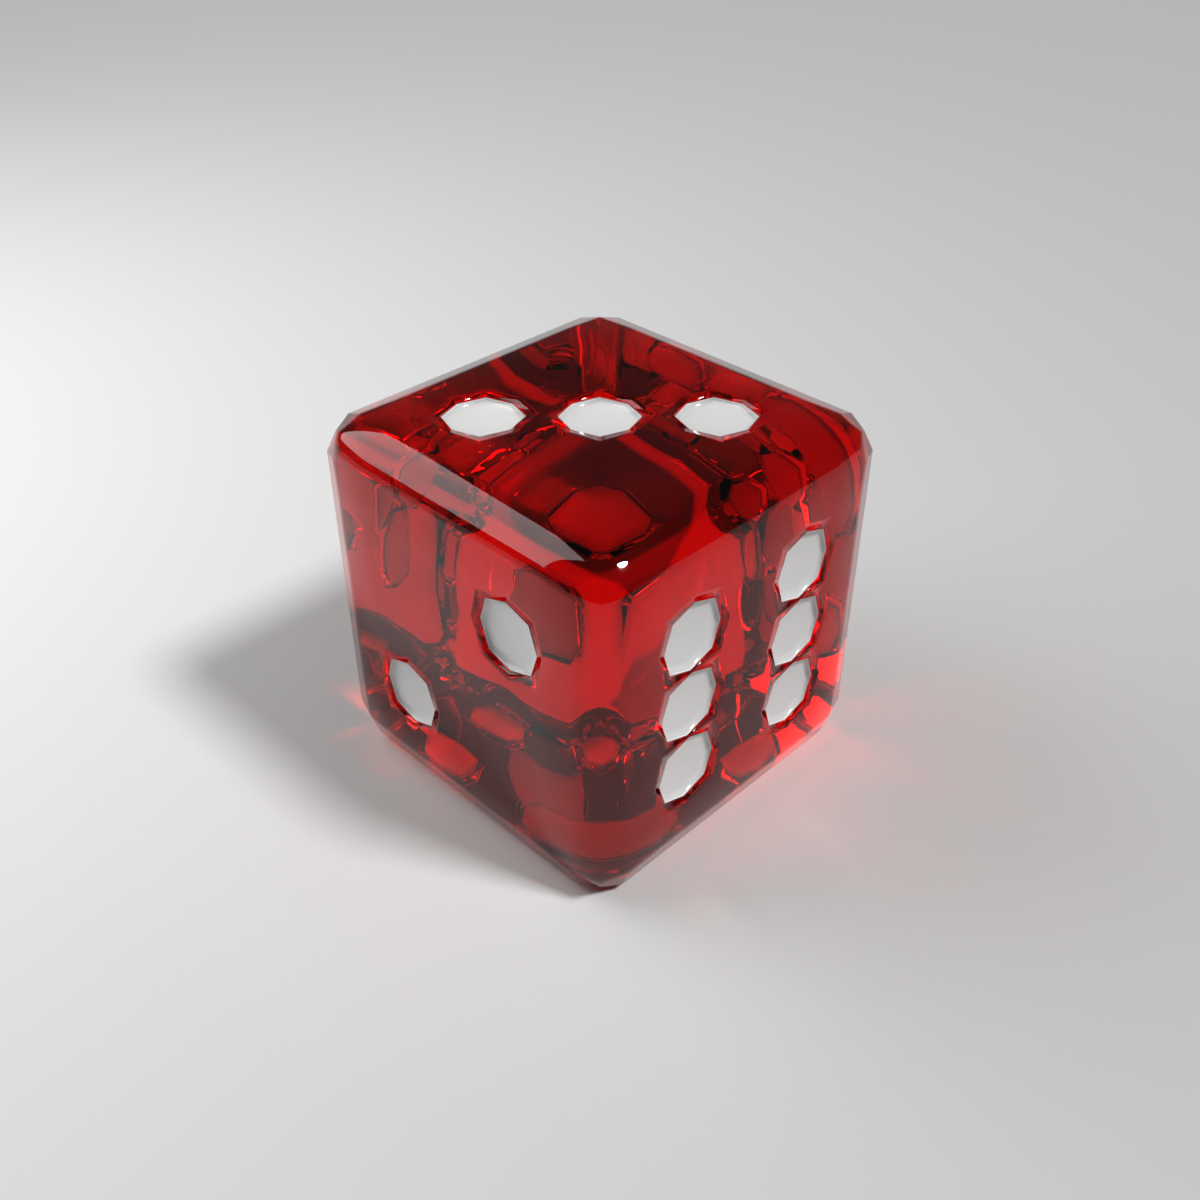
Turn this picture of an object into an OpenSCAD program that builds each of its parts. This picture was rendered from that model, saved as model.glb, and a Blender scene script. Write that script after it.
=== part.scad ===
// Casino die: a clear red block with 21 white pips inlaid in shallow pockets.
// Opposite faces add up to seven. The three is on top, the two faces -Y and the six faces +X.
// The origin is the centre of the bottom face, with +Z up. Lengths are in millimetres.

/* [Block] */
// Side of the block, from face to face
side = 19.05; // [16:0.05:25.4]
// Width of the border on each face that slopes down to an edge, per cent of the side
bevel_pc = 10; // [6:0.5:10]
// Setback of each edge from the two faces beside it, per cent of the side
ridge_pc = 2.5; // [1.5:0.1:2.8]
// Setback of each corner from the three faces beside it, per cent of the side
tip_pc = 4.45; // [3:0.05:4.6]

/* [Pips] */
// Distance between the centres of neighbouring pips, per cent of the side
pitch_pc = 20; // [19.7:0.1:21]
// Radius of a pip at the four vertices in line with the face's sides, per cent of the side
pip_straight_pc = 9.8; // [7:0.1:9.8]
// Radius of a pip at the four vertices on the face's diagonals, per cent of the side
pip_diagonal_pc = 10.4; // [7:0.1:11]
// Depth of a pocket below its face
pocket_depth = 0.45; // [0.2:0.05:0.6]
// Depth of a pip's surface below its face
pip_recess = 0.10; // [0:0.01:0.15]

/* [Hidden] */
flat = side * (1 - 2 * bevel_pc / 100);    // side of the flat part of a face
ridge = side * (1 - 2 * ridge_pc / 100);   // distance between two opposite edges, along an axis
tip = side * (1 - 2 * tip_pc / 100);       // distance between two corners, along an axis
pitch = side * pitch_pc / 100;
cut_over = 1;                              // how far a pocket's cutter stands out of the face
pip_sides = 8;

// Where the pips of each value sit on their face, in steps of the pitch
PIP_SPOTS = [
    [[0, 0]],
    [[-1, -1], [1, 1]],
    [[-1, -1], [0, 0], [1, 1]],
    [[-1, -1], [-1, 1], [1, -1], [1, 1]],
    [[-1, -1], [-1, 1], [0, 0], [1, -1], [1, 1]],
    [[-1, -1], [-1, 0], [-1, 1], [1, -1], [1, 0], [1, 1]]
];
// How the faces of value 1 to 6 are turned from the top face: -X, -Y, +Z, -Z, +Y and +X
FACE_TURNS = [[90, 0, -90], [90, 0, 0], [0, 0, 0], [180, 0, 0], [90, 0, 180], [90, 0, 90]];
VALUE_WORDS = ["one", "two", "three", "four", "five", "six"];

function pip_name(value, index) = str("pip_", VALUE_WORDS[value - 1], "_", index + 1);

// Moves what is drawn on the XY plane to one pip's place on its face
module at_pip(value, index) {
    translate([0, 0, side / 2])
        rotate(FACE_TURNS[value - 1])
            translate(concat(PIP_SPOTS[value - 1][index] * pitch, side / 2))
                children();
}

// The eight-sided outline that a pocket and its pip share
module pip_outline() {
    radii = [pip_straight_pc, pip_diagonal_pc] * side / 100;
    polygon([
        for (i = [0:pip_sides - 1])
            let (turn = 360 * i / pip_sides)
            radii[i % 2] * [cos(turn), sin(turn)]
    ]);
}

// The block before its pockets are cut: each edge is a ridge between two sloping borders
module block() {
    translate([0, 0, side / 2])
        hull() {
            for (faces = [[flat, flat, side], [flat, side, flat], [side, flat, flat]])
                cube(faces, center = true);
            for (edges = [[ridge, ridge, flat], [ridge, flat, ridge], [flat, ridge, ridge]])
                cube(edges, center = true);
            cube(tip, center = true);
        }
}

module pocket() {
    translate([0, 0, -pocket_depth])
        linear_extrude(pocket_depth + cut_over)
            pip_outline();
}

module die_body() {
    color("firebrick", 0.8)
        difference() {
            block();
            for (value = [1:6])
                for (index = [0:value - 1])
                    at_pip(value, index)
                        pocket();
        }
}

// One inlay, from the floor of its pocket to just under the face
module pip(value, index) {
    color("whitesmoke")
        at_pip(value, index)
            translate([0, 0, -pocket_depth])
                linear_extrude(pocket_depth - pip_recess)
                    pip_outline();
}

die_body();
for (value = [1:6])
    for (index = [0:value - 1])
        pip(value, index);
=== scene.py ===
"""A clear red casino die with white inlaid pips, on a pale floor under soft studio light.

The block is one closed body of dyed clear plastic, with a rounded lip round each of its 21 pockets. Each
pip is a white dish inlaid in its own pocket. Sizes are in half sides of the block, so a face is at 1.
"""

import math

import bmesh
import bpy
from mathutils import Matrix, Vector


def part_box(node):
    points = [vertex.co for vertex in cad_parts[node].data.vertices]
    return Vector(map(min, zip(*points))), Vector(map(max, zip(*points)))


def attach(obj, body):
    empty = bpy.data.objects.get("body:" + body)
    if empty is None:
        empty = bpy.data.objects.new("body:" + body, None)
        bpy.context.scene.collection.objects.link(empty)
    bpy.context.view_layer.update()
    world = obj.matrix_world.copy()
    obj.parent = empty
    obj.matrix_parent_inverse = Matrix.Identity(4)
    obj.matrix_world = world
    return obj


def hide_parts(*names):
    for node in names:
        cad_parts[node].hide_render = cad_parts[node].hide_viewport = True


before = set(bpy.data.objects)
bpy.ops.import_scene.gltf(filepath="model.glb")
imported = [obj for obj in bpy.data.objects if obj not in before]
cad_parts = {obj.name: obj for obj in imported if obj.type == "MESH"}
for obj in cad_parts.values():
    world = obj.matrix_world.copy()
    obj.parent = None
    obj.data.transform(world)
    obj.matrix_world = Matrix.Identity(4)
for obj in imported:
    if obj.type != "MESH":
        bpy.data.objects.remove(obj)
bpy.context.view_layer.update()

LOW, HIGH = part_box("die_body")
CENTRE = (LOW + HIGH) / 2
HALF = (HIGH.z - LOW.z) / 2  # half a side of the block, in metres

# The block's cage: five cells along each side of a face
CELL = 0.4
CELL_STEPS = range(-2, 3)
CORNERS = ((-1, -1), (1, -1), (1, 1), (-1, 1))  # of a square, in order
PIP_CELLS = {
    1: [(0, 0)],
    2: [(-1, -1), (1, 1)],
    3: [(-1, -1), (0, 0), (1, 1)],
    4: [(-1, -1), (-1, 1), (1, -1), (1, 1)],
    5: [(-1, -1), (-1, 1), (0, 0), (1, -1), (1, 1)],
    6: [(-1, -1), (-1, 0), (-1, 1), (1, -1), (1, 0), (1, 1)],
}
# Each value's face: the way it points, and the two directions across it
FACES = {
    1: ((-1, 0, 0), (0, -1, 0), (0, 0, 1)),
    2: ((0, -1, 0), (1, 0, 0), (0, 0, 1)),
    3: ((0, 0, 1), (1, 0, 0), (0, 1, 0)),
    4: ((0, 0, -1), (1, 0, 0), (0, -1, 0)),
    5: ((0, 1, 0), (-1, 0, 0), (0, 0, 1)),
    6: ((1, 0, 0), (0, 1, 0), (0, 0, 1)),
}
VALUE_WORDS = ("one", "two", "three", "four", "five", "six")

# The two square loops in a pip's cell: half width and depth. They become the dish's border and floor.
PIP_LIP = (0.195, 0.0113)
PIP_FLOOR = (0.205, 0.0440)
PIP_THICK = 0.007  # thickness of the white dish
SEAT_GAP = 0.0035  # how far the pocket's floor lies under the dish's surface
LIP_LEAN = 0.26  # how much further over the lip's normals lean than its faces do
EDGE_REACH = 0.88  # what lies further out than this on two axes belongs to an edge of the block

# Vertex layers: the normals that a piece keeps, 1 along the block's edges, and 1 on an inlay's underside,
# where the white is painted brighter as painted light
SMOOTH = "smooth_normal"
ALONG_EDGE = "along_edge"
BONDED_SIDE_PAINTED_LIGHT = "bonded_side_painted_light"


def on_die(point):
    """A point in half sides from the block's centre, in metres in the shared frame."""
    return CENTRE + HALF * Vector(point)


def face_axes(value):
    """The outward direction of a value's face and the two directions across it."""
    return tuple(Vector(axis) for axis in FACES[value])


def pips():
    """Each pip as its name, its value and its cell, in the CAD's order."""
    for value, cells in PIP_CELLS.items():
        for index, cell in enumerate(cells):
            yield f"{VALUE_WORDS[value - 1]}_{index + 1}", value, cell


# ---------------------------------------------------------------- meshes


def cage():
    """The coarse block: five cells across each face, with two square loops sunk into each pip's cell.
    The face attribute 'pip' is 0 on the block and counts from 1 on the inlays."""
    bm = bmesh.new()
    layer = bm.faces.layers.int.new("pip")
    found = {}

    def vert(point, loop):
        key = (*(round(c, 5) for c in point), loop)
        if key not in found:
            found[key] = bm.verts.new(point)
        return found[key]

    def square(centre, u, v, half_width, loop):
        return [vert(centre + (u * a + v * b) * half_width, loop) for a, b in CORNERS]

    def add_face(corners, pip):
        bm.faces.new(corners)[layer] = pip

    numbers = {(value, cell): n for n, (_, value, cell) in enumerate(pips(), 1)}
    for value in FACES:
        w, u, v = face_axes(value)
        for i in CELL_STEPS:
            for j in CELL_STEPS:
                centre = w + u * CELL * i + v * CELL * j
                outer = square(centre, u, v, CELL / 2, 0)
                number = numbers.get((value, (i, j)))
                if number is None:
                    add_face(outer, 0)
                    continue
                lip = square(centre - w * PIP_LIP[1], u, v, PIP_LIP[0], 2 * number)
                floor = square(centre - w * PIP_FLOOR[1], u, v, PIP_FLOOR[0], 2 * number + 1)
                for a in range(4):
                    b = (a + 1) % 4
                    add_face((outer[a], outer[b], lip[b], lip[a]), 0)
                    add_face((lip[a], lip[b], floor[b], floor[a]), number)
                add_face(floor, number)
    return bm


def subdivided(bm):
    """The same surface with one level of Catmull-Clark subdivision, as a new bmesh."""
    mesh = bpy.data.meshes.new("cage")
    bm.to_mesh(mesh)
    bm.free()
    piece = bpy.data.objects.new("cage", mesh)
    bpy.context.scene.collection.objects.link(piece)
    smooth = piece.modifiers.new("smooth", "SUBSURF")
    smooth.levels = 1
    smooth.render_levels = 1
    smooth.use_limit_surface = False
    result = bmesh.new()
    result.from_object(piece, bpy.context.evaluated_depsgraph_get())
    bpy.data.objects.remove(piece)
    bpy.data.meshes.remove(mesh)
    return result


def pip_patch(bm, number):
    """The faces of one inlay."""
    layer = bm.faces.layers.int["pip"]
    return [face for face in bm.faces if face[layer] == number]


def patch_verts(faces):
    """The vertices of a patch of faces, each once and always in the same order."""
    return list(dict.fromkeys(vert for face in faces for vert in face.verts))


def border_loop(faces):
    """The vertices round a patch of faces, in order."""
    inside = set(faces)
    after = {}
    for face in faces:
        for loop in face.loops:
            if loop.link_loop_radial_next.face not in inside:
                after[loop.vert] = loop.link_loop_next.vert
    first = next(iter(after))
    ring = [first]
    while after[ring[-1]] is not first:
        ring.append(after[ring[-1]])
    return ring


def pairs(ring):
    """Each item of a ring with the one after it."""
    return zip(ring, ring[1:] + ring[:1])


def lean_lips(skin):
    """Leans the normals of the ring round each pip further over, so that its lip reads as a rounded one."""
    for number, (_, value, _) in enumerate(pips(), 1):
        w = face_axes(value)[0]
        patch = pip_patch(skin, number)
        inside = set(patch_verts(patch))
        near = {edge.other_vert(vert) for vert in border_loop(patch) for edge in vert.link_edges}
        for vert in near - inside:
            vert.normal = (vert.normal - w * LIP_LEAN).normalized()


def block_mesh(skin):
    """The glass block: the skin, with each pip's patch set down under its inlay's surface."""
    bm = skin.copy()
    smooth = bm.verts.layers.float_vector.new(SMOOTH)
    edge = bm.verts.layers.float.new(ALONG_EDGE)
    for vert in bm.verts:
        vert[smooth] = vert.normal
        vert[edge] = float(sorted(abs(c) for c in vert.co)[1] > EDGE_REACH)
    for number, (_, value, _) in enumerate(pips(), 1):
        w = face_axes(value)[0]
        patch = pip_patch(bm, number)
        low = {vert: bm.verts.new(vert.co - w * SEAT_GAP) for vert in patch_verts(patch)}
        for face in patch:
            bm.faces.new([low[vert] for vert in face.verts])
        for vert, after in pairs(border_loop(patch)):
            bm.faces.new((vert, after, low[after], low[vert]))
        bmesh.ops.delete(bm, geom=patch, context="FACES")
    return bm


def inlay_mesh(skin, number, value):
    """One white inlay: a closed dish whose surface is the skin's patch, and whose bonded underside is
    marked for a painted light white.
    """
    w = face_axes(value)[0]
    patch = pip_patch(skin, number)
    bm = bmesh.new()
    smooth = bm.verts.layers.float_vector.new(SMOOTH)
    bonded_side_painted_light = bm.verts.layers.float.new(BONDED_SIDE_PAINTED_LIGHT)
    top, under = {}, {}
    for vert in patch_verts(patch):
        top[vert] = bm.verts.new(vert.co)
        top[vert][smooth] = vert.normal
        under[vert] = bm.verts.new(vert.co - w * PIP_THICK)
        under[vert][bonded_side_painted_light] = 1.0
    for face in patch:
        bm.faces.new([top[vert] for vert in face.verts])
        bm.faces.new([under[vert] for vert in reversed(face.verts)])
    for vert, after in pairs(border_loop(patch)):
        bm.faces.new((top[vert], under[vert], under[after], top[after]))
    return bm


def finished_object(name, bm, material):
    """A linked object, from a bmesh in half sides. A face is smooth where all its vertices hold a normal
    in the layer SMOOTH, and flat elsewhere."""
    smooth = bm.verts.layers.float_vector.get(SMOOTH)
    normals = []
    for face in bm.faces:
        rounded = smooth and all(vert[smooth].length > 0 for vert in face.verts)
        normals += [vert[smooth].copy() if rounded else face.normal.copy() for vert in face.verts]
        face.smooth = True
    for vert in bm.verts:
        vert.co = on_die(vert.co)
    if smooth:
        bm.verts.layers.float_vector.remove(smooth)
    mesh = bpy.data.meshes.new(name)
    bm.to_mesh(mesh)
    bm.free()
    mesh.normals_split_custom_set(normals)
    mesh.materials.append(material)
    piece = bpy.data.objects.new(name, mesh)
    bpy.context.scene.collection.objects.link(piece)
    return piece


# ---------------------------------------------------------------- materials

GLASS_IOR = 1.45

# Colours. Where there are two, a noise mixes them.
DYE = ((0.73, 0.0002, 0.0002, 1), (0.63, 0.0001, 0.0001, 1))
WHITE = ((0.73, 0.727, 0.724, 1), (0.69, 0.687, 0.684, 1))
# Painted light: a brighter white on the inlays' undersides, standing in for the light that reaches them
# through the block
PAINTED_LIGHT_WHITE = (0.88, 0.88, 0.88, 1)
FLOOR_GREY = (0.635, 0.635, 0.635, 1)
ROOM_GREY = (0.06, 0.06, 0.06, 1)
BACKDROP_GREY = (0.46, 0.46, 0.46, 1)

# The most roughness that each kind of wear gives the glass
SMUDGED = 0.012
SCRATCHED = 0.02
RUBBED = 0.10
SCRATCH_STRETCH = (1, 9, 3)  # a scratch runs along X
WHITE_GRAIN = 2e-6  # height of the grain in the white plastic, in metres

MIX_FACTOR, MIX_FIRST, MIX_SECOND, MIX_COLOUR = 0, 6, 7, 2  # sockets of a Mix node that mixes colours


class Shading:
    """A material with one Principled shader, and short ways to add nodes to it."""

    def __init__(self, name):
        self.material = bpy.data.materials.new(name)
        self.material.use_nodes = True
        self.tree = self.material.node_tree
        self.shader = self.tree.nodes["Principled BSDF"]

    def give(self, node, inputs):
        """Sets a node's inputs. Each is a value, or another node's output socket."""
        for key, value in inputs.items():
            if isinstance(value, bpy.types.NodeSocket):
                self.tree.links.new(value, node.inputs[key])
            else:
                node.inputs[key].default_value = value

    def surface(self, **inputs):
        """Sets the shader's inputs, named with _ for each space."""
        self.give(self.shader, {key.replace("_", " "): value for key, value in inputs.items()})

    def add(self, kind, inputs, **settings):
        node = self.tree.nodes.new(f"ShaderNode{kind}")
        for key, value in settings.items():
            setattr(node, key, value)
        self.give(node, inputs)
        return node.outputs

    def maths(self, operation, *values):
        return self.add("Math", dict(enumerate(values)), operation=operation)[0]

    def noise(self, scale, detail=3.0, stretch=(1, 1, 1)):
        """A value from 0 to 1, whose scale is its blotches to the metre."""
        place = self.add("TexCoord", {})["Object"]
        place = self.add("Mapping", {"Vector": place, "Scale": stretch})[0]
        return self.add("TexNoise", {"Vector": place, "Scale": scale, "Detail": detail})["Fac"]

    def fitted(self, value, low, high, to_low=0.0, to_high=1.0):
        """Eases a value's range from low to high into another range."""
        ends = {"Value": value, "From Min": low, "From Max": high, "To Min": to_low, "To Max": to_high}
        return self.add("MapRange", ends, interpolation_type="SMOOTHSTEP")["Result"]

    def mixed(self, amount, a, b):
        """A colour from a to b."""
        colours = {MIX_FACTOR: amount, MIX_FIRST: a, MIX_SECOND: b}
        return self.add("Mix", colours, data_type="RGBA")[MIX_COLOUR]

    def attribute(self, name):
        """The value of one of the piece's vertex layers."""
        return self.add("Attribute", {}, attribute_name=name)["Fac"]


def clear_red():
    """Dyed clear plastic: a little uneven in its dye, polished, with faint smudges and hairline scratches,
    and rubbed along the block's edges."""
    glass = Shading("clear_red")
    dye = glass.mixed(glass.noise(scale=160), *DYE)
    smudges = glass.fitted(glass.noise(scale=420, detail=4.0), 0.45, 0.75, to_high=SMUDGED)
    streaks = glass.noise(scale=900, detail=2.0, stretch=SCRATCH_STRETCH)
    scratches = glass.fitted(streaks, 0.66, 0.70, to_high=SCRATCHED)
    grit = glass.fitted(glass.noise(scale=2600), 0.45, 0.65, to_high=RUBBED)
    rubbed = glass.maths("MULTIPLY", glass.fitted(glass.attribute(ALONG_EDGE), 0.90, 1.0), grit)
    glass.surface(
        Transmission_Weight=1.0,
        IOR=GLASS_IOR,
        Base_Color=dye,
        Roughness=glass.maths("ADD", glass.maths("ADD", smudges, scratches), rubbed),
    )
    return glass.material


def white_inlay():
    """White plastic, moulded and polished: faintly mottled, with a fine grain. Its bonded side, which shows
    through the block, is painted a brighter white that stands in for the light reaching it through the
    block."""
    white = Shading("white_inlay")
    height = white.noise(scale=9000, detail=2.0)
    grain = white.add("Bump", {"Strength": 0.15, "Distance": WHITE_GRAIN, "Height": height})["Normal"]
    mottled = white.mixed(white.noise(scale=900, detail=4.0), *WHITE)
    polish = white.noise(scale=2400, detail=5.0)
    white.surface(
        # Painted light: the undersides, seen through the block, take the brighter white
        Base_Color=white.mixed(white.attribute(BONDED_SIDE_PAINTED_LIGHT), mottled, PAINTED_LIGHT_WHITE),
        Roughness=white.fitted(polish, 0.3, 0.7, to_low=0.10, to_high=0.16),
        Normal=grain,
    )
    return white.material


def matt_floor():
    """The pale matt floor."""
    floor = Shading("matt_floor")
    floor.surface(Base_Color=FLOOR_GREY, Roughness=1.0, Specular_IOR_Level=0.0)
    return floor.material


# ---------------------------------------------------------------- pieces


def build_piece(name, bm, material, node):
    """A piece of the die that stands for a CAD node."""
    piece = finished_object(name, bm, material)
    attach(piece, "root")
    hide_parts(node)


def build_die():
    """The clear block and its 21 inlays."""
    white = white_inlay()
    skin = subdivided(cage())
    skin.normal_update()
    lean_lips(skin)
    build_piece("clear_block", block_mesh(skin), clear_red(), "die_body")
    for number, (name, value, _) in enumerate(pips(), 1):
        build_piece(f"inlay_{name}", inlay_mesh(skin, number, value), white, f"pip_{name}")
    skin.free()


# ---------------------------------------------------------------- studio

# Lengths and places are in half sides, with places measured from the block's centre
FLOOR_REACH = 200  # half the floor's side
FLOOR_GAP = 0.0004  # how far the floor lies under the block, so that the two never share a plane
LAMP_PANEL = (-7.46, -4.66, 6.43)
LAMP_PANEL_SIZE = (9.25, 9.64)
LAMP_PANEL_AIM = (0.388, 0.537, -0.749)
LAMP_PANEL_WATTS = 863  # if a half side were a metre
KEY_AIM = (-0.553, -0.230, -0.799)
KEY_STRENGTH = 2.565
KEY_ANGLE = 0.20  # how wide the key light looks from the block, in radians
CAMERA_AZIMUTH = 44.89  # degrees from the two's side towards the six's
CAMERA_ELEVATION = 36.14  # degrees
CAMERA_DISTANCE = 6.998
CAMERA_AIM_DROP = 0.111  # how far below the block's centre the camera looks
CAMERA_LENS = 35  # millimetres, as the sensor's width is
CAMERA_SENSOR = 32
CAMERA_CLIP = (0.001, 20)  # metres


def linked(name, data):
    item = bpy.data.objects.new(name, data)
    bpy.context.scene.collection.objects.link(item)
    return item


def build_floor():
    bm = bmesh.new()
    bm.faces.new([bm.verts.new((x * FLOOR_REACH, y * FLOOR_REACH, -1 - FLOOR_GAP)) for x, y in CORNERS])
    finished_object("floor", bm, matt_floor())


def build_lights():
    panel = bpy.data.lights.new("panel", "AREA")
    panel.shape = "RECTANGLE"
    panel.size, panel.size_y = (side * HALF for side in LAMP_PANEL_SIZE)
    panel.energy = LAMP_PANEL_WATTS * HALF**2
    hung = linked("panel", panel)
    hung.location = on_die(LAMP_PANEL)
    hung.rotation_euler = Vector(LAMP_PANEL_AIM).to_track_quat("-Z", "Y").to_euler()
    hung.visible_camera = False
    key = bpy.data.lights.new("key", "SUN")
    key.energy = KEY_STRENGTH
    key.angle = KEY_ANGLE
    linked("key", key).rotation_euler = Vector(KEY_AIM).to_track_quat("-Z", "Y").to_euler()


def build_world():
    """A dim room, so that the clear block stays dark where it reflects it. Only what the camera sees
    directly is the pale backdrop."""
    world = bpy.data.worlds.new("studio")
    bpy.context.scene.world = world
    world.use_nodes = True
    nodes, links = world.node_tree.nodes, world.node_tree.links
    seen = nodes.new("ShaderNodeLightPath").outputs["Is Camera Ray"]
    mix = nodes.new("ShaderNodeMix")
    mix.data_type = "RGBA"
    links.new(seen, mix.inputs[MIX_FACTOR])
    mix.inputs[MIX_FIRST].default_value = ROOM_GREY
    mix.inputs[MIX_SECOND].default_value = BACKDROP_GREY
    links.new(mix.outputs[MIX_COLOUR], nodes["Background"].inputs["Color"])


def build_camera():
    data = bpy.data.cameras.new("camera")
    data.lens = CAMERA_LENS
    data.sensor_width = CAMERA_SENSOR
    data.clip_start, data.clip_end = CAMERA_CLIP
    azimuth, elevation = math.radians(CAMERA_AZIMUTH), math.radians(CAMERA_ELEVATION)
    back = Vector((
        math.sin(azimuth) * math.cos(elevation),
        -math.cos(azimuth) * math.cos(elevation),
        math.sin(elevation),
    ))
    camera = linked("camera", data)
    camera.location = on_die(back * CAMERA_DISTANCE - Vector((0, 0, CAMERA_AIM_DROP)))
    camera.rotation_euler = (-back).to_track_quat("-Z", "Y").to_euler()
    bpy.context.scene.camera = camera


build_camera()
build_die()
build_floor()
build_lights()
build_world()
scene = bpy.context.scene
scene.view_settings.view_transform = "Standard"
scene.cycles.blur_glossy = 0.0
